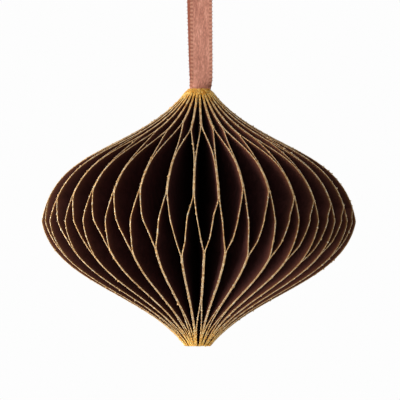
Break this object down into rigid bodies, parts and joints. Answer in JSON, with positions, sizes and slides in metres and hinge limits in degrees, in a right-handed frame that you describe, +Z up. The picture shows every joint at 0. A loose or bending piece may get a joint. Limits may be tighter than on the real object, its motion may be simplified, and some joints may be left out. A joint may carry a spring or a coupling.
{
  "type": "honeycomb paper ornament",
  "caption": "Onion-shaped honeycomb ornament of folded dark brown card leaves with gold glitter edges round an open core, hung on a rose copper satin ribbon loop.",
  "frame": {"origin": "inside top of the ribbon loop, on the axis of the body, where a hook or twig carries the ornament", "axes": "+Z up along the axis of the body, -Y out of the ribbon's front face, X across the ribbon"},
  "size_m": [0.0766, 0.0766, 0.113],
  "materials": {
    "card": "matt dyed card, with gold glitter on its outer edge",
    "ribbon": "rose copper satin"
  },
  "bodies": {
    "root": {"sheet_01": "card", "sheet_02": "card", "sheet_03": "card", "sheet_04": "card", "sheet_05": "card", "sheet_06": "card", "sheet_07": "card", "sheet_08": "card", "sheet_09": "card", "sheet_10": "card", "sheet_11": "card", "sheet_12": "card", "sheet_13": "card", "sheet_14": "card", "sheet_15": "card", "sheet_16": "card", "sheet_17": "card", "sheet_18": "card", "sheet_19": "card", "sheet_20": "card", "sheet_21": "card", "sheet_22": "card", "sheet_23": "card", "sheet_24": "card", "sheet_25": "card", "sheet_26": "card", "sheet_27": "card", "sheet_28": "card", "sheet_29": "card", "sheet_30": "card", "sheet_31": "card", "sheet_32": "card", "sheet_33": "card", "sheet_34": "card", "sheet_35": "card", "sheet_36": "card", "ribbon_loop": "ribbon"}
  },
  "joints": []
}
